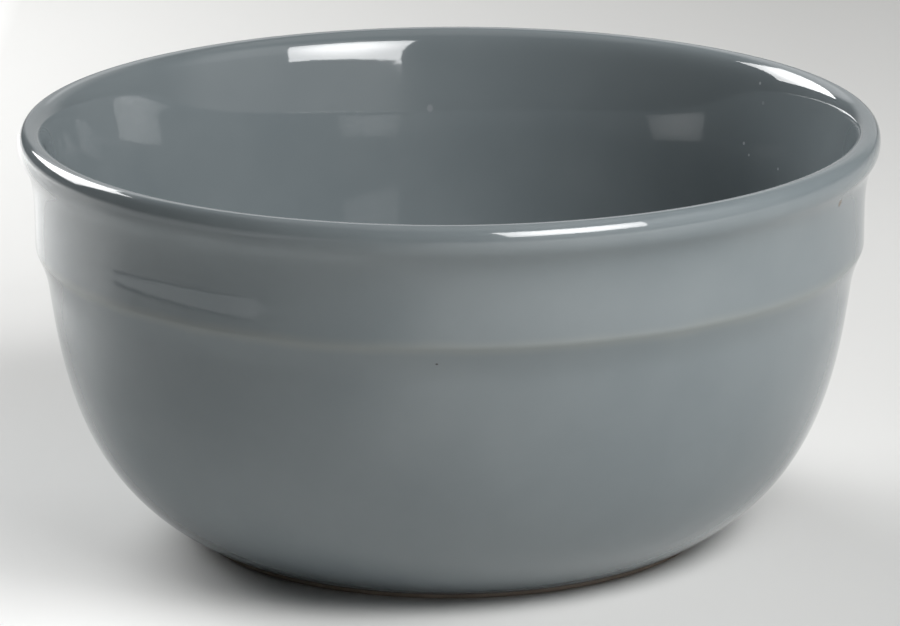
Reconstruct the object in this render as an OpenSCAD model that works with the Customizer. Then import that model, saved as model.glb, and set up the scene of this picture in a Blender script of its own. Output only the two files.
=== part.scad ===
// Deep stoneware bowl, made as one fired clay body with a low foot ring.
// Glaze coats it inside, outside and in the well under the foot, each coat
// face to face with the clay. The clay stays bare where the foot stands.
// Every outline is half a section, as [radius, height], turned about Z.

/* [Rim] */
// Outside diameter at the widest line of the rim
rim_d = 158; // [140:1:180]
// Height from the table to the crest of the rim
bowl_h = 76.7; // [70:0.1:90]
// Drop from the crest to the widest line
lip_outer_drop = 2.9; // [1.5:0.1:4]
// Width of the lip outside its crest
lip_outer_w = 1.8; // [0.8:0.1:2.4]
// Drop from the crest to the inner wall
lip_inner_drop = 6.6; // [5:0.1:8]
// Width of the lip inside its crest
lip_inner_w = 4; // [3.4:0.1:5]
// Lean of the inner wall where the lip ends, in degrees
lip_lean = 12; // [9:0.5:18]

/* [Flare and band] */
// Height of the hollow flare, from the band to the widest line
flare_h = 13.8; // [12:0.1:18]
// How far the band stands in from the widest line
band_in = 2.7; // [1.5:0.1:4]
// Height of the upright band
band_h = 4.8; // [3:0.1:8]
// Rounding of the ridge at the foot of the band
ridge_r = 2.5; // [1:0.1:4]
// Lean of the wall just under the ridge, in degrees
ridge_lean = 22; // [14:1:30]

/* [Step under the ridge] */
// Height of the step, from the ridge down to the belly
step_h = 7.8; // [6:0.1:10]
// How far the belly stands in from the ridge
step_in = 2.25; // [1.5:0.05:3]

/* [Belly] */
// Lean of the belly at its top, in degrees
belly_lean = 7.4; // [4:0.2:12]
// Slope of the belly where it meets the foot, in degrees from upright
foot_lean = 63; // [55:1:70]

/* [Foot] */
// Outside diameter of the foot ring
foot_d = 96; // [80:1:110]
// Width of the foot ring
foot_ring_w = 5.6; // [4:0.1:8]
// Rounding of the foot ring's edges
foot_edge_r = 0.6; // [0.3:0.1:1]
// Height of the bare clay at the foot
bare_h = 1; // [0.8:0.1:2]
// Height of the well under the foot
well_h = 3; // [2.5:0.1:5]
// Rounding where the well's side meets its ceiling
well_fillet_r = 1.4; // [0.8:0.1:1.4]

/* [Walls] */
// Thickness of the glaze
glaze_t = 0.4; // [0.2:0.05:0.5]
// Width of the wall at the top of the belly
wall_w = 4.3; // [3.9:0.1:6]
// Thickness of the floor over the well
floor_t = 5.8; // [4:0.1:8]
// Radius of the flat middle of the floor
floor_r = 16; // [8:1:24]
// Lean of the inner wall beside the top of the belly, in degrees
inner_lean = 5.8; // [4:0.2:10]
// How far the basin's lower curve reaches past the foot
basin_past_foot = 6.7; // [4:0.1:10]
// How far the wall stands out past the foot before the basin's curve shortens
basin_out = 21.75; // [16:0.25:30]

/* [Hidden] */

// Facets of a turned surface, and steps of a curve and of an arc
turn_fn = 128;
curve_steps = 14;
arc_steps = 6;

clay_colour = [0.62, 0.52, 0.42];
glaze_colour = [0.47, 0.51, 0.53];
well_colour = [0.44, 0.48, 0.50];

// How far a curve runs on along its end slopes, as shares of its own height
// or width
belly_shares = [0.38, 0.48];
step_shares = [0.33, 0.41];
flare_shares = [0.88, 0.30];
lip_shares = [0.67, 0.64];
rim_wall_shares = [0.47, 0.53];
basin_share = 1.00;
// How much of the wall's reach beyond basin_out comes off the basin's curve
tuck_share = 0.90;

rim_r = rim_d / 2;
rim_z = bowl_h - lip_outer_drop;
crest = [rim_r - lip_outer_w, bowl_h];
band_r = rim_r - band_in;
band_top_z = rim_z - flare_h;
ridge_z = band_top_z - band_h;
belly_top = [band_r - step_in, ridge_z - step_h];
foot_r = foot_d / 2;
belly_end = [foot_r + glaze_t, bare_h];
well_r = foot_r - foot_ring_w - glaze_t;
inner_top = [crest.x - lip_inner_w, bowl_h - lip_inner_drop];
inner_side = [belly_top.x - wall_w, belly_top.y];
floor_z = well_h + floor_t;

// A step of length s from a point, leaning outwards by an angle as it rises
function along(p, lean, s) = p + s * [sin(lean), cos(lean)];

// A smooth curve from a to d that starts towards b and arrives from c
function curve(a, b, c, d) =
    [for (i = [0:curve_steps])
        let (t = i / curve_steps, u = 1 - t)
        u * u * u * a + 3 * u * u * t * b + 3 * u * t * t * c + t * t * t * d];

// Part of an ellipse round a centre, from one angle to another
function arc(centre, w, h, from, to) =
    [for (i = [0:arc_steps])
        let (angle = from + (to - from) * i / arc_steps)
        centre + [w * cos(angle), h * sin(angle)]];

// A list of points without its first one
function rest_of(points) = [for (i = [1:len(points) - 1]) points[i]];

// The side of a line's direction that faces the air
function air_side(run) = [run.y, -run.x] / norm(run);

// Points moved into the wall by a thickness, square to their line
function sunk(points, t) =
    [for (i = [0:len(points) - 1])
        let (before = points[max(i - 1, 0)])
        let (after = points[min(i + 1, len(points) - 1)])
        points[i] - t * air_side(after - before)];

function reversed(points) = [for (i = [len(points) - 1:-1:0]) points[i]];

// The belly, from the foot up to the step
function belly_line() =
    let (rise = belly_top.y - belly_end.y)
    curve(belly_end,
          along(belly_end, foot_lean, belly_shares[1] * rise),
          along(belly_top, belly_lean, -belly_shares[0] * rise),
          belly_top);

// The step and the rounded ridge over it
function ridge_line() =
    let (inset = ridge_r * (1 - cos(ridge_lean)))
    let (start = [band_r - inset, ridge_z - ridge_r * sin(ridge_lean)])
    let (rise = start.y - belly_top.y)
    concat(curve(belly_top,
                 along(belly_top, belly_lean, step_shares[1] * rise),
                 along(start, ridge_lean, -step_shares[0] * rise),
                 start),
           rest_of(arc([band_r - ridge_r, ridge_z], ridge_r, ridge_r, -ridge_lean, 0)));

// The hollow flare, from the upright band to the widest line
function flare_line() =
    curve([band_r, band_top_z],
          [band_r, band_top_z + flare_shares[0] * flare_h],
          [rim_r, rim_z - flare_shares[1] * flare_h],
          [rim_r, rim_z]);

// The outside, from the glaze's lower edge to the crest
function outer_face() =
    concat(belly_line(),
           rest_of(ridge_line()),
           flare_line(),
           rest_of(arc([crest.x, rim_z], lip_outer_w, lip_outer_drop, 0, 90)));

// The lip, from its crest in to the wall
function lip_line() =
    curve(crest,
          [crest.x - lip_shares[0] * lip_inner_w, crest.y],
          along(inner_top, lip_lean, lip_shares[1] * lip_inner_drop),
          inner_top);

// The wall behind the flare and the band
function rim_wall_line() =
    let (fall = inner_top.y - inner_side.y)
    curve(inner_top,
          along(inner_top, lip_lean, -rim_wall_shares[0] * fall),
          along(inner_side, inner_lean, rim_wall_shares[1] * fall),
          inner_side);

// The basin, from the wall to the flat middle of the floor
function basin_line() =
    let (fall = inner_side.y - floor_z)
    let (tuck = max(0, inner_side.x - foot_r - basin_out))
    curve(inner_side,
          along(inner_side, inner_lean, -basin_share * fall + tuck_share * tuck),
          [foot_r + basin_past_foot, floor_z],
          [floor_r, floor_z]);

// The inside, from the crest to the middle of the floor
function inner_face() =
    concat(lip_line(),
           rest_of(rim_wall_line()),
           rest_of(basin_line()),
           [[0, floor_z]]);

// The well, from the middle of its ceiling to the glaze's lower edge
function well_face() =
    concat([[0, well_h]],
           arc([well_r - well_fillet_r, well_h - well_fillet_r],
               well_fillet_r, well_fillet_r, 90, 0),
           [[well_r, bare_h]]);

// Bare foot ring, from the well's side round to the belly
function foot_line() =
    let (inside_x = well_r + glaze_t)
    let (inner_centre = [inside_x + foot_edge_r, foot_edge_r])
    let (outer_centre = [foot_r - foot_edge_r, foot_edge_r])
    concat(arc(inner_centre, foot_edge_r, foot_edge_r, 180, 270),
           arc(outer_centre, foot_edge_r, foot_edge_r, 270, 360));

outer_points = outer_face();
inner_points = inner_face();
well_points = well_face();

// Clay under the outer and inner glaze, as one line over the crest
clay_points = sunk(concat(outer_points, rest_of(inner_points)), glaze_t);
crest_index = len(outer_points) - 1;
outer_clay = [for (i = [0:crest_index]) clay_points[i]];
inner_clay = [for (i = [crest_index:len(clay_points) - 1]) clay_points[i]];
well_clay = sunk(well_points, glaze_t);

module turned(outline) {
    rotate_extrude($fn = turn_fn) polygon(outline);
}

// One fired piece: wall, floor and foot ring
module stoneware_body() {
    color(clay_colour) turned(concat(clay_points, well_clay, foot_line()));
}

// Glaze from the crest down the inside and over the floor
module inner_glaze() {
    color(glaze_colour) turned(concat(inner_points, reversed(inner_clay)));
}

// Glaze from the crest down the outside, ending just above the foot
module outer_glaze() {
    color(glaze_colour) turned(concat(outer_points, reversed(outer_clay)));
}

// Glaze on the ceiling and side of the well under the foot
module foot_well_glaze() {
    color(well_colour) turned(concat(well_points, reversed(well_clay)));
}

stoneware_body();
inner_glaze();
outer_glaze();
foot_well_glaze();
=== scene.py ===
# Deep stoneware bowl: a turned clay body under coats of blue-grey gloss glaze, on a pale floor.
# Outlines are half sections in millimetres, as (radius, height), and each piece is pulled up ring by ring.
import math
import bmesh
import bpy
from mathutils import Matrix, Vector


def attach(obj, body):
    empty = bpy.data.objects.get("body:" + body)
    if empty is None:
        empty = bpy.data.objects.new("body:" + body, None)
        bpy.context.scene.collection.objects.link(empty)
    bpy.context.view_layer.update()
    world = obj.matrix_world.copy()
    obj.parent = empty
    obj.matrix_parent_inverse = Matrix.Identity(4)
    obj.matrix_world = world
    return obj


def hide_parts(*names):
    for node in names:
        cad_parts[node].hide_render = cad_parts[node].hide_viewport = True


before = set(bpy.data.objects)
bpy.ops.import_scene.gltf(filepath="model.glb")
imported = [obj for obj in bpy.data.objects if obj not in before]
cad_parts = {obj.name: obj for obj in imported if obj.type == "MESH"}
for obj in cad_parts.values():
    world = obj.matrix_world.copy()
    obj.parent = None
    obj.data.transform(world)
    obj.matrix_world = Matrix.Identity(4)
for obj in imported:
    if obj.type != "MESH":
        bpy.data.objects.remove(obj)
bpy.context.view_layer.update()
mm = 0.001
near = 0.01  # millimetres within which a ring is found by its place


def at(radius, height):
    return Vector((radius, height))


def along(point, lean, length):
    # a step from a point, leaning outwards as it rises
    return point + length * at(math.sin(math.radians(lean)), math.cos(math.radians(lean)))


def curve(a, b, c, d, count):
    # from a to d, starting towards b and arriving from c
    line = []
    for i in range(count + 1):
        t = i / count
        line.append(a * (1 - t) ** 3 + b * 3 * t * (1 - t) ** 2 + c * 3 * t * t * (1 - t) + d * t ** 3)
    return line


def arc(centre, width, height, fromAngle, toAngle, count):
    # part of an ellipse, with its angles in degrees
    line = []
    for i in range(count + 1):
        angle = math.radians(fromAngle + (toAngle - fromAngle) * i / count)
        line.append(centre + at(width * math.cos(angle), height * math.sin(angle)))
    return line


def joined(*lines):
    # lines end to end, without the points they share
    whole = []
    for line in lines:
        for point in line:
            if not whole or (point - whole[-1]).length > near:
                whole.append(point)
    return whole


def sunk(line, depth):
    # the line moved into the wall, square to itself
    moved = []
    for i, point in enumerate(line):
        run = line[min(i + 1, len(line) - 1)] - line[max(i - 1, 0)]
        moved.append(point - depth * at(run.y, -run.x).normalized())
    return moved


turning = {"segments": 256, "sharpAngle": 38}
# steps of each curve and arc of the outlines
steps = {"belly": 40, "step": 14, "ridge": 6, "flare": 26, "outerLip": 26, "innerLip": 30,
         "wall": 30, "basin": 40, "well": 10, "ringEdge": 6}


def startRing(name, point):
    bpy.ops.object.select_all(action="DESELECT")
    bpy.ops.mesh.primitive_circle_add(vertices=turning["segments"], radius=point.x * mm,
                                      location=(0, 0, point.y * mm))
    piece = bpy.context.object
    piece.name = name
    piece.data.name = name
    bpy.ops.object.transform_apply(location=True, rotation=True, scale=True)
    return piece


def selectRing(piece, point):
    bpy.ops.mesh.select_all(action="DESELECT")
    shape = bmesh.from_edit_mesh(piece.data)
    for vert in shape.verts:
        radius = math.hypot(vert.co.x, vert.co.y) / mm
        vert.select = abs(radius - point.x) < near and abs(vert.co.z / mm - point.y) < near
    shape.select_flush(True)
    bmesh.update_edit_mesh(piece.data)


def pullRing(a, b):
    # the selected ring at a is extruded to b
    bpy.ops.mesh.extrude_region_move(TRANSFORM_OT_translate={"value": (0, 0, (b.y - a.y) * mm)})
    widen = b.x / a.x
    bpy.ops.transform.resize(value=(widen, widen, 1), center_override=(0, 0, 0))


def closeAtAxis(height, a):
    bpy.ops.mesh.extrude_region_move(TRANSFORM_OT_translate={"value": (0, 0, (height - a.y) * mm)})
    bpy.ops.mesh.merge(type="CENTER")


def turned(name, outline):
    # an outline point on the axis closes the piece there
    rings = [point for point in outline if point.x > near]
    piece = startRing(name, rings[0])
    bpy.ops.object.mode_set(mode="EDIT")
    bpy.ops.mesh.select_all(action="SELECT")
    for a, b in zip(rings, rings[1:]):
        pullRing(a, b)
    if outline[-1].x <= near:
        closeAtAxis(outline[-1].y, rings[-1])
    if outline[0].x <= near:
        selectRing(piece, rings[0])
        closeAtAxis(outline[0].y, rings[0])
    # extruded rings face away from the air, as every outline keeps the air on its right
    bpy.ops.mesh.select_all(action="SELECT")
    bpy.ops.mesh.flip_normals()
    bpy.ops.object.mode_set(mode="OBJECT")
    return piece


def addThickness(piece, thickness):
    coat = piece.modifiers.new("coat", "SOLIDIFY")
    coat.thickness = thickness * mm
    coat.offset = -1
    coat.use_even_offset = True
    bpy.ops.object.modifier_apply(modifier=coat.name)


def finishPiece(piece, material, node):
    bpy.ops.object.shade_smooth_by_angle(angle=math.radians(turning["sharpAngle"]))
    piece.data.materials.clear()
    piece.data.materials.append(material)
    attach(piece, "root")
    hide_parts(node)
    print("made", piece.name, len(piece.data.polygons), "faces")
    return piece


outside = {
    "rimWidth": 158, "height": 76.7, "lipDrop": 2.9, "lipWidth": 1.8,
    "flareHeight": 13.8, "bandIn": 2.7, "bandHeight": 4.8,
    "ridgeRound": 2.5, "ridgeLean": 22, "stepHeight": 7.8, "stepIn": 2.25,
    "bellyLean": 7.4, "footLean": 63,
    "bellyShares": (0.38, 0.48), "stepShares": (0.33, 0.41), "flareShares": (0.88, 0.30),
}
inside = {
    "lipDrop": 6.6, "lipWidth": 4, "lipLean": 12, "wall": 4.3, "sideLean": 5.8,
    "floorThickness": 5.8, "floorRadius": 16,
    "lipShares": (0.67, 0.64), "wallShares": (0.47, 0.53), "basinShares": (1.00, 0.72),
}
foot = {"width": 96, "ring": 5.6, "edgeRound": 0.6, "bareHeight": 1, "wellHeight": 3, "wellRound": 1.4}
glaze = {"thickness": 0.4}

rimRadius = outside["rimWidth"] / 2
rimHeight = outside["height"] - outside["lipDrop"]
crest = at(rimRadius - outside["lipWidth"], outside["height"])
bandRadius = rimRadius - outside["bandIn"]
bandTop = rimHeight - outside["flareHeight"]
ridgeHeight = bandTop - outside["bandHeight"]
bellyTop = at(bandRadius - outside["stepIn"], ridgeHeight - outside["stepHeight"])
footRadius = foot["width"] / 2
bellyEnd = at(footRadius + glaze["thickness"], foot["bareHeight"])
wellRadius = footRadius - foot["ring"] - glaze["thickness"]
innerTop = crest - at(inside["lipWidth"], inside["lipDrop"])
innerSide = bellyTop - at(inside["wall"], 0)
floorHeight = foot["wellHeight"] + inside["floorThickness"]


def outerOutline():
    # belly, step, ridge, band, flare and lip, from the foot to the crest
    rise = bellyTop.y - bellyEnd.y
    share = outside["bellyShares"]
    belly = curve(bellyEnd, along(bellyEnd, outside["footLean"], share[1] * rise),
                  along(bellyTop, outside["bellyLean"], -share[0] * rise), bellyTop, steps["belly"])
    ridgeRound, lean = outside["ridgeRound"], outside["ridgeLean"]
    start = at(bandRadius - ridgeRound * (1 - math.cos(math.radians(lean))),
               ridgeHeight - ridgeRound * math.sin(math.radians(lean)))
    rise = start.y - bellyTop.y
    share = outside["stepShares"]
    step = curve(bellyTop, along(bellyTop, outside["bellyLean"], share[1] * rise),
                 along(start, lean, -share[0] * rise), start, steps["step"])
    ridge = arc(at(bandRadius - ridgeRound, ridgeHeight), ridgeRound, ridgeRound, -lean, 0, steps["ridge"])
    share = outside["flareShares"]
    tall = outside["flareHeight"]
    flare = curve(at(bandRadius, bandTop), at(bandRadius, bandTop + share[0] * tall),
                  at(rimRadius, rimHeight - share[1] * tall), at(rimRadius, rimHeight), steps["flare"])
    lip = arc(at(crest.x, rimHeight), outside["lipWidth"], outside["lipDrop"], 0, 90, steps["outerLip"])
    return joined(belly, step, ridge, flare, lip)


def innerOutline():
    # lip, wall and basin, from the crest to the middle of the floor
    share = inside["lipShares"]
    lip = curve(crest, crest - at(share[0] * inside["lipWidth"], 0),
                along(innerTop, inside["lipLean"], share[1] * inside["lipDrop"]), innerTop,
                steps["innerLip"])
    fall = innerTop.y - innerSide.y
    share = inside["wallShares"]
    wall = curve(innerTop, along(innerTop, inside["lipLean"], -share[0] * fall),
                 along(innerSide, inside["sideLean"], share[1] * fall), innerSide, steps["wall"])
    fall = innerSide.y - floorHeight
    share = inside["basinShares"]
    flat = at(inside["floorRadius"], floorHeight)
    reach = at(share[1] * (innerSide.x - flat.x), 0)
    basin = curve(innerSide, along(innerSide, inside["sideLean"], -share[0] * fall),
                  flat + reach, flat, steps["basin"])
    return joined(lip, wall, basin, [at(flat.x / 2, floorHeight), at(0, floorHeight)])


def wellOutline():
    # from the middle of the well's ceiling to the glaze's lower edge
    turn, high = foot["wellRound"], foot["wellHeight"]
    corner = arc(at(wellRadius - turn, high - turn), turn, turn, 90, 0, steps["well"])
    return joined([at(0, high), at(wellRadius / 2, high)], corner, [at(wellRadius, foot["bareHeight"])])


def ringOutline():
    # the bare foot ring, from the well's side round to the belly
    turn = foot["edgeRound"]
    inward = wellRadius + glaze["thickness"] + turn
    innerEdge = arc(at(inward, turn), turn, turn, 180, 270, steps["ringEdge"])
    outerEdge = arc(at(footRadius - turn, turn), turn, turn, 270, 360, steps["ringEdge"])
    return joined(innerEdge, outerEdge)


def newMaterial(name):
    material = bpy.data.materials.new(name)
    material.use_nodes = True
    nodes, links = material.node_tree.nodes, material.node_tree.links
    return material, nodes, links, nodes["Principled BSDF"]


def noiseOn(nodes, links, place, scale, detail=2.0, roughness=0.5):
    noise = nodes.new("ShaderNodeTexNoise")
    noise.inputs["Scale"].default_value = scale
    noise.inputs["Detail"].default_value = detail
    noise.inputs["Roughness"].default_value = roughness
    links.new(place, noise.inputs["Vector"])
    return noise.outputs["Fac"]


def ranged(nodes, links, value, low, high, newLow=0.0, newHigh=1.0, smooth=False):
    step = nodes.new("ShaderNodeMapRange")
    step.interpolation_type = "SMOOTHSTEP" if smooth else "LINEAR"
    step.inputs["From Min"].default_value = low
    step.inputs["From Max"].default_value = high
    step.inputs["To Min"].default_value = newLow
    step.inputs["To Max"].default_value = newHigh
    links.new(value, step.inputs["Value"])
    return step.outputs["Result"]


def worked(nodes, links, operation, a, b):
    step = nodes.new("ShaderNodeMath")
    step.operation = operation
    for socket, value in zip(step.inputs, (a, b)):
        if isinstance(value, (int, float)):
            socket.default_value = value
        else:
            links.new(value, socket)
    return step.outputs["Value"]


def blended(nodes, links, share, a, b, way="MIX"):
    mix = nodes.new("ShaderNodeMix")
    mix.data_type = "RGBA"
    mix.blend_type = way
    if isinstance(share, (int, float)):
        mix.inputs["Factor"].default_value = share
    else:
        links.new(share, mix.inputs["Factor"])
    for socket, value in ((mix.inputs["A"], a), (mix.inputs["B"], b)):
        if isinstance(value, tuple):
            socket.default_value = value + (1,)
        else:
            links.new(value, socket)
    return mix.outputs["Result"]


# scales are noise waves per metre, and spans are the noise values between which a look comes in
gloss = {
    "body": (0.180, 0.206, 0.216),
    "cloudDark": (0.163, 0.189, 0.200), "cloudScale": 45, "cloudDetail": 3, "cloudSpan": (0.35, 0.65),
    "grain": (0.5, 0.5, 0.5), "grainScale": 1600, "grainSpan": (0.3, 0.7), "grainShow": 0.22,
    # the ridge's thin line, in millimetres
    "breakTan": (0.27, 0.275, 0.24), "breakHeight": 54.6, "breakHalf": 2.0, "breakShow": 0.27,
    "waver": 0.35, "waverScale": 60, "waverSpan": (0.3, 0.7),
    # orange peel, with its depth in millimetres
    "peelFine": 600, "peelBroad": 90, "peelDetail": 1, "peelBroadWeight": 2, "peelDepth": 0.004,
    "roughness": 0.04, "specular": 0.6,
}

# specks fired into the glaze and pits in it, by place and half size in millimetres
markEdge = {"span": (0.5, 1.1), "cover": 0.9}
brownSpeck = (0.10, 0.065, 0.03)
darkSpeck = (0.04, 0.035, 0.03)
paleDot = (0.42, 0.44, 0.45)
palePit = (0.25, 0.27, 0.28)
outerMarks = [
    {"place": (69.4, -34.3, 69.3), "half": (0.5, 0.9, 1.1), "colour": brownSpeck},
    {"place": (-2.3, -75.05, 51.6), "half": (0.3, 0.3, 0.2), "colour": darkSpeck},
]
innerMarks = [
    {"place": (-3.8, 71.4, 61.6), "half": (0.7, 0.9, 0.9), "colour": palePit},
    {"place": (59.6, 43.6, 72.9), "half": (0.35, 0.35, 0.35), "colour": paleDot},
    {"place": (60.1, 41.6, 69.5), "half": (0.45, 0.45, 0.45), "colour": palePit},
    {"place": (56.6, 43.5, 61.1), "half": (0.38, 0.38, 0.38), "colour": paleDot},
    {"place": (57.5, 41.8, 59.2), "half": (0.3, 0.3, 0.3), "colour": paleDot},
    {"place": (62.6, 33.5, 58.5), "half": (0.33, 0.33, 0.33), "colour": paleDot},
]


def marked(nodes, links, place, colour, marks):
    # soft-edged ellipsoids of another colour
    for mark in marks:
        away = nodes.new("ShaderNodeVectorMath")
        away.operation = "SUBTRACT"
        links.new(place, away.inputs[0])
        away.inputs[1].default_value = [value * mm for value in mark["place"]]
        shrunk = nodes.new("ShaderNodeVectorMath")
        shrunk.operation = "DIVIDE"
        links.new(away.outputs[0], shrunk.inputs[0])
        shrunk.inputs[1].default_value = [value * mm for value in mark["half"]]
        length = nodes.new("ShaderNodeVectorMath")
        length.operation = "LENGTH"
        links.new(shrunk.outputs[0], length.inputs[0])
        share = ranged(nodes, links, length.outputs["Value"], *markEdge["span"], markEdge["cover"], 0.0, True)
        colour = blended(nodes, links, share, colour, mark["colour"])
    return colour


def blueGreyGlaze(name, ridged, marks):
    material, nodes, links, shader = newMaterial(name)
    place = nodes.new("ShaderNodeTexCoord").outputs["Object"]
    clouds = noiseOn(nodes, links, place, gloss["cloudScale"], gloss["cloudDetail"])
    clouds = ranged(nodes, links, clouds, *gloss["cloudSpan"])
    colour = blended(nodes, links, clouds, gloss["cloudDark"], gloss["body"])
    grain = noiseOn(nodes, links, place, gloss["grainScale"])
    grain = ranged(nodes, links, grain, *gloss["grainSpan"], 0.0, gloss["grainShow"])
    colour = blended(nodes, links, grain, colour, gloss["grain"], "SOFT_LIGHT")
    if ridged:
        # the glaze runs thin on the ridge and shows the clay's tan
        split = nodes.new("ShaderNodeSeparateXYZ")
        links.new(place, split.inputs["Vector"])
        waver = noiseOn(nodes, links, place, gloss["waverScale"])
        waver = ranged(nodes, links, waver, *gloss["waverSpan"], -gloss["waver"], gloss["waver"])
        height = worked(nodes, links, "ADD", worked(nodes, links, "DIVIDE", split.outputs["Z"], mm), waver)
        away = worked(nodes, links, "SUBTRACT", height, gloss["breakHeight"])
        away = worked(nodes, links, "ABSOLUTE", away, 0)
        thin = ranged(nodes, links, away, 0, gloss["breakHalf"], gloss["breakShow"], 0.0, True)
        colour = blended(nodes, links, thin, colour, gloss["breakTan"])
    colour = marked(nodes, links, place, colour, marks)
    links.new(colour, shader.inputs["Base Color"])
    shader.inputs["Roughness"].default_value = gloss["roughness"]
    shader.inputs["Specular IOR Level"].default_value = gloss["specular"]
    fine = noiseOn(nodes, links, place, gloss["peelFine"], gloss["peelDetail"])
    broad = noiseOn(nodes, links, place, gloss["peelBroad"], gloss["peelDetail"])
    broad = worked(nodes, links, "MULTIPLY", broad, gloss["peelBroadWeight"])
    peel = worked(nodes, links, "ADD", fine, broad)
    bump = nodes.new("ShaderNodeBump")
    bump.inputs["Strength"].default_value = 1
    bump.inputs["Distance"].default_value = gloss["peelDepth"] * mm
    links.new(peel, bump.inputs["Height"])
    links.new(bump.outputs["Normal"], shader.inputs["Normal"])
    return material


# the bare clay's own brown and patches, set darker as painted shade for the shade it sits in at the foot
clay = {
    "colour": (0.25, 0.20, 0.155), "dark": (0.18, 0.14, 0.105), "patchScale": 150, "patchSpan": (0.35, 0.7),
    "sandScale": 2400, "sandRough": 0.7, "sandSpan": (0.35, 0.65), "sandShow": 0.35, "grainDepth": 0.05,
    "detail": 4, "dullSpan": (0.3, 0.7), "roughness": (0.75, 0.9),
}


def bareClay():
    material, nodes, links, shader = newMaterial("bare_stoneware_finish")
    place = nodes.new("ShaderNodeTexCoord").outputs["Object"]
    patches = noiseOn(nodes, links, place, clay["patchScale"], clay["detail"])
    patches = ranged(nodes, links, patches, *clay["patchSpan"])
    sand = noiseOn(nodes, links, place, clay["sandScale"], clay["detail"], clay["sandRough"])
    grains = ranged(nodes, links, sand, *clay["sandSpan"], 0.0, clay["sandShow"])
    colour = blended(nodes, links, patches, clay["dark"], clay["colour"])
    colour = blended(nodes, links, grains, colour, clay["dark"])
    links.new(colour, shader.inputs["Base Color"])
    links.new(ranged(nodes, links, sand, *clay["dullSpan"], *clay["roughness"]), shader.inputs["Roughness"])
    bump = nodes.new("ShaderNodeBump")
    bump.inputs["Distance"].default_value = clay["grainDepth"] * mm
    links.new(sand, bump.inputs["Height"])
    links.new(bump.outputs["Normal"], shader.inputs["Normal"])
    return material


outerFinish = blueGreyGlaze("outer_glaze_finish", True, outerMarks)
innerFinish = blueGreyGlaze("inner_glaze_finish", False, innerMarks)
clayFinish = bareClay()

outerLine, innerLine, wellLine = outerOutline(), innerOutline(), wellOutline()

outerCoat = turned("outer_glaze_coat", outerLine)
addThickness(outerCoat, glaze["thickness"])
finishPiece(outerCoat, outerFinish, "outer_glaze")

innerCoat = turned("inner_glaze_coat", innerLine)
addThickness(innerCoat, glaze["thickness"])
finishPiece(innerCoat, innerFinish, "inner_glaze")

wellCoat = turned("foot_well_coat", wellLine)
addThickness(wellCoat, glaze["thickness"])
finishPiece(wellCoat, innerFinish, "foot_well_glaze")

clayWall = sunk(outerLine + innerLine[1:], glaze["thickness"])
clayBody = turned("clay_body", joined(sunk(wellLine, glaze["thickness"]), ringOutline(), clayWall))
finishPiece(clayBody, clayFinish, "stoneware_body")


# places are in metres; a pair of colours runs along the pair of places after it, and the other
# pairs of places are where one part of the paper gives way to the next
# painted light and shade: the paper is paler far to the left and in front to the right, and darker to the
# right, further back and in front to the left
floorPaperPaintedShading = {
    "size": 6.0, "roughness": 0.85, "specular": 0.2,
    "left": ((0.84, 0.84, 0.83), (0.62, 0.62, 0.61)), "leftDeep": (0.02, 0.16),
    "outside": (0.95, 0.95, 0.94), "outsideAcross": (-0.14, -0.115),
    "right": ((0.605, 0.605, 0.595), (0.525, 0.525, 0.515)), "rightDeep": (0.2, 0.45),
    "sidesAcross": (-0.09, 0.09),
    "front": ((0.60, 0.60, 0.59), (0.90, 0.90, 0.885)), "frontAcross": (-0.15, 0.15),
    "frontDeep": (-0.17, -0.07),
}
# painted reflections, which the glaze alone mirrors of the paper: painted shade on the left, and a painted
# paler field beyond a dark seam
paintedReflectionsOnPaper = {
    "shade": (0.2, 0.2, 0.2), "shadeShow": 0.65, "shadeAcross": (-0.08, 0.0), "shadeDeep": (-0.04, 0.04),
    "field": (0.72, 0.73, 0.74), "fieldRadius": 0.261, "fieldEdge": 0.0004,
    "fieldAcross": (-0.194, -0.192), "fieldDeep": (-0.01, 0.02),
    "seam": (0.02, 0.02, 0.02), "seamHalf": (0.0014, 0.0024),
}


# the paper's painted light and shade, to the left, to the right and in front of the bowl
def paperPaintedShading(nodes, links, across, deep):
    left = blended(nodes, links, ranged(nodes, links, deep, *floorPaperPaintedShading["leftDeep"]), *floorPaperPaintedShading["left"])
    inward = ranged(nodes, links, across, *floorPaperPaintedShading["outsideAcross"])
    left = blended(nodes, links, inward, floorPaperPaintedShading["outside"], left)
    right = blended(nodes, links, ranged(nodes, links, deep, *floorPaperPaintedShading["rightDeep"]), *floorPaperPaintedShading["right"])
    paper = blended(nodes, links, ranged(nodes, links, across, *floorPaperPaintedShading["sidesAcross"]), left, right)
    rightward = ranged(nodes, links, across, *floorPaperPaintedShading["frontAcross"])
    front = blended(nodes, links, rightward, *floorPaperPaintedShading["front"])
    return blended(nodes, links, ranged(nodes, links, deep, *floorPaperPaintedShading["frontDeep"]), front, paper)


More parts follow.
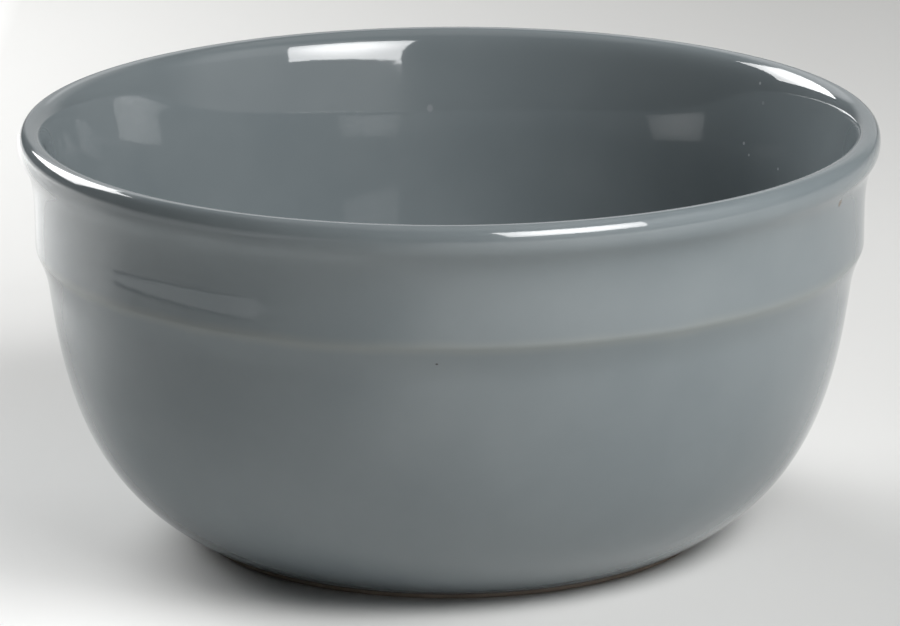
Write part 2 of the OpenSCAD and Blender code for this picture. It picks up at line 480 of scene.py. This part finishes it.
def withPaintedReflections(nodes, links, place, across, deep, paper):
    # the paper's colour as the glaze sees it, with painted reflections: shade on the left and a paler field
    # beyond a dark seam
    mirrored = nodes.new("ShaderNodeLightPath").outputs["Is Glossy Ray"]
    leftward = ranged(nodes, links, across, *paintedReflectionsOnPaper["shadeAcross"],
                      paintedReflectionsOnPaper["shadeShow"], 0.0, True)
    nearward = ranged(nodes, links, deep, *paintedReflectionsOnPaper["shadeDeep"], 1.0, 0.0, True)
    shaded = worked(nodes, links, "MULTIPLY", mirrored, worked(nodes, links, "MULTIPLY", leftward, nearward))
    paper = blended(nodes, links, shaded, paper, paintedReflectionsOnPaper["shade"])
    distance = nodes.new("ShaderNodeVectorMath")
    distance.operation = "LENGTH"
    links.new(place, distance.inputs[0])
    past = worked(nodes, links, "SUBTRACT", distance.outputs["Value"], paintedReflectionsOnPaper["fieldRadius"])
    leftward = ranged(nodes, links, across, *paintedReflectionsOnPaper["fieldAcross"], 1.0, 0.0)
    nearward = ranged(nodes, links, deep, *paintedReflectionsOnPaper["fieldDeep"], 1.0, 0.0)
    side = worked(nodes, links, "MULTIPLY", mirrored, worked(nodes, links, "MULTIPLY", leftward, nearward))
    beyond = worked(nodes, links, "MULTIPLY", side, ranged(nodes, links, past, 0, paintedReflectionsOnPaper["fieldEdge"]))
    paper = blended(nodes, links, beyond, paper, paintedReflectionsOnPaper["field"])
    seam = worked(nodes, links, "ABSOLUTE", past, 0)
    seam = ranged(nodes, links, seam, *paintedReflectionsOnPaper["seamHalf"], 1.0, 0.0)
    return blended(nodes, links, worked(nodes, links, "MULTIPLY", side, seam), paper, paintedReflectionsOnPaper["seam"])


def paleFloor():
    bpy.ops.object.select_all(action="DESELECT")
    bpy.ops.mesh.primitive_plane_add(size=floorPaperPaintedShading["size"])
    floor = bpy.context.object
    floor.name = "floor"
    material, nodes, links, shader = newMaterial("floor_paper_painted_shading")
    place = nodes.new("ShaderNodeTexCoord").outputs["Object"]
    split = nodes.new("ShaderNodeSeparateXYZ")
    links.new(place, split.inputs["Vector"])
    across, deep = split.outputs["X"], split.outputs["Y"]
    # the paper's painted light and shade, then the painted reflections that only the glaze sees
    paper = paperPaintedShading(nodes, links, across, deep)
    paper = withPaintedReflections(nodes, links, place, across, deep, paper)
    links.new(paper, shader.inputs["Base Color"])
    shader.inputs["Roughness"].default_value = floorPaperPaintedShading["roughness"]
    shader.inputs["Specular IOR Level"].default_value = floorPaperPaintedShading["specular"]
    floor.data.materials.append(material)
    return floor


# placed by the directions of their edges from the bowl, in degrees clockwise from the camera's side;
# the glaze mirrors a mirrored box, which lights nothing matt, and a lighting box isn't mirrored
softboxes = {
    "front_lamp": {"turns": (13, 52), "rises": (13, 38.5), "away": 0.85, "radiance": 14, "use": "mirrored"},
    "left_lamp": {"turns": (-150, -112), "rises": (13.5, 41), "away": 1.4, "radiance": 11.5,
                  "use": "mirrored"},
    "right_light": {"turns": (42, 78), "rises": (27, 54), "away": 0.78, "radiance": 12.9, "use": "lighting"},
    "front_light": {"turns": (12, 48), "rises": (32, 58), "away": 0.85, "radiance": 5.3, "use": "lighting"},
    "front_card": {"turns": (17, 53), "rises": (-4.5, 10), "away": 0.5, "radiance": 1.5, "use": "lighting"},
    "back_light": {"turns": (-168, -132), "rises": (17, 45), "away": 1.4, "radiance": 7.6, "use": "lighting"},
    "left_card": {"turns": (-146, -114), "rises": (6, 28), "away": 0.6, "radiance": 10.4, "use": "lighting"},
}
lampTarget = Vector((0, 0, 0.06))
# a cloth front is brightest in the middle; the middle and the span are in shares of its width
lampCloth = {"middle": (0.5, 0.5, 0), "span": (0.1, 0.6), "strength": (1.25, 0.7)}


def softbox(name, box):
    turn = math.radians(sum(box["turns"]) / 2)
    rise = math.radians(sum(box["rises"]) / 2)
    away = box["away"]
    direction = Vector((math.sin(turn) * math.cos(rise), -math.cos(turn) * math.cos(rise), math.sin(rise)))
    wide = 2 * away * math.cos(rise) * math.tan(math.radians(box["turns"][1] - box["turns"][0]) / 2)
    tall = 2 * away * math.tan(math.radians(box["rises"][1] - box["rises"][0]) / 2)
    lamp = bpy.data.lights.new(name, "AREA")
    lamp.shape = "RECTANGLE"
    lamp.size, lamp.size_y = wide, tall
    # watts of a panel that shines with this radiance to all sides
    lamp.energy = box["radiance"] * wide * tall * math.pi
    lamp.use_nodes = True
    nodes, links = lamp.node_tree.nodes, lamp.node_tree.links
    place = nodes.new("ShaderNodeNewGeometry").outputs["Parametric"]
    out = nodes.new("ShaderNodeVectorMath")
    out.operation = "DISTANCE"
    out.inputs[1].default_value = lampCloth["middle"]
    links.new(place, out.inputs[0])
    glow = ranged(nodes, links, out.outputs["Value"], *lampCloth["span"], *lampCloth["strength"], True)
    links.new(glow, nodes["Emission"].inputs["Strength"])
    holder = bpy.data.objects.new(name, lamp)
    bpy.context.collection.objects.link(holder)
    holder.matrix_world = Matrix.Translation(lampTarget + direction * away) @ \
        direction.to_track_quat("Z", "Y").to_matrix().to_4x4()
    holder.visible_glossy = box["use"] != "lighting"
    holder.visible_diffuse = box["use"] != "mirrored"
    return holder


# levels, and the parts of a unit direction between which each comes in or goes
room = {
    "fill": 0.0, "dark": 0.015, "background": 0.80, "topOfWalls": (0.6, 0.75),
    "behindDeep": (0.1, 0.6), "middle": 0.5, "middleLeft": (-0.4, -0.15), "middleRight": (0.35, 0.7),
    "upper": 1.1, "upperLeft": (-0.85, -0.6), "upperRight": (0.1, 0.45), "upperHeight": (0.26, 0.38),
    "wall": (0.65, 1.05), "wallAcross": (0.1, 0.4), "wallDeep": (-0.3, 0.15), "wallHeight": (0.26, 0.38),
    "ceiling": 0.6, "ceilingHeight": (0.78, 0.92),
}


def darkRoom():
    # a pale backdrop behind the bowl and darkness to the left and round the camera, as the glaze mirrors them
    world = bpy.data.worlds.new("room")
    bpy.context.scene.world = world
    world.use_nodes = True
    nodes, links = world.node_tree.nodes, world.node_tree.links
    sky = nodes["Background"]
    path = nodes.new("ShaderNodeLightPath")
    split = nodes.new("ShaderNodeSeparateXYZ")
    links.new(nodes.new("ShaderNodeTexCoord").outputs["Generated"], split.inputs["Vector"])
    across, deep, height = split.outputs["X"], split.outputs["Y"], split.outputs["Z"]

    def rising(value, span, level=1.0):
        return ranged(nodes, links, value, *span, 0.0, level, True)

    def falling(value, span):
        return ranged(nodes, links, value, *span, 1.0, 0.0, True)

    def both(a, b):
        return worked(nodes, links, "MULTIPLY", a, b)

    def brighter(a, b):
        return worked(nodes, links, "MAXIMUM", a, b)

    # the backdrop: its middle, and a lit upper part that reaches further to the left
    middle = both(rising(across, room["middleLeft"], room["middle"]), falling(across, room["middleRight"]))
    upper = both(rising(across, room["upperLeft"], room["upper"]), falling(across, room["upperRight"]))
    upper = both(upper, rising(height, room["upperHeight"]))
    backdrop = both(rising(deep, room["behindDeep"]), brighter(middle, upper))
    # a pale wall to the right of the camera
    wall = both(rising(across, room["wallAcross"]), falling(deep, room["wallDeep"]))
    wall = both(wall, ranged(nodes, links, height, *room["wallHeight"], *room["wall"], True))
    seen = both(brighter(backdrop, wall), falling(height, room["topOfWalls"]))
    ceiling = ranged(nodes, links, height, *room["ceilingHeight"], room["dark"], room["ceiling"], True)
    seen = brighter(seen, ceiling)
    level = blended(nodes, links, path.outputs["Is Glossy Ray"], (room["fill"],) * 3, seen)
    level = blended(nodes, links, path.outputs["Is Camera Ray"], level, (room["background"],) * 3)
    links.new(level, sky.inputs["Color"])
    sky.inputs["Strength"].default_value = 1


# lens and sensor in millimetres, places in metres, angles in radians
view = {"lens": 212.45, "sensor": 36, "back": 0.948, "up": 0.3055, "clip": 20,
        "pitch": 0.2734, "roll": -0.0039}


def placeCamera():
    camera = bpy.data.cameras.new("camera")
    camera.sensor_fit = "HORIZONTAL"
    camera.sensor_width = view["sensor"]
    camera.lens = view["lens"]
    camera.clip_end = view["clip"]
    holder = bpy.data.objects.new("camera", camera)
    bpy.context.collection.objects.link(holder)
    ahead = Vector((0, math.cos(view["pitch"]), -math.sin(view["pitch"])))
    across = Vector((1, 0, 0))
    over = across.cross(ahead)
    roll = view["roll"]
    side = across * math.cos(roll) + over * math.sin(roll)
    up = over * math.cos(roll) - across * math.sin(roll)
    turn = Matrix((side, up, -ahead)).transposed()
    holder.matrix_world = Matrix.Translation((0, -view["back"], view["up"])) @ turn.to_4x4()
    bpy.context.scene.camera = holder


paleFloor()
for name, box in softboxes.items():
    softbox(name, box)
darkRoom()
placeCamera()
bpy.context.scene.view_settings.view_transform = "Standard"
print("studio set")
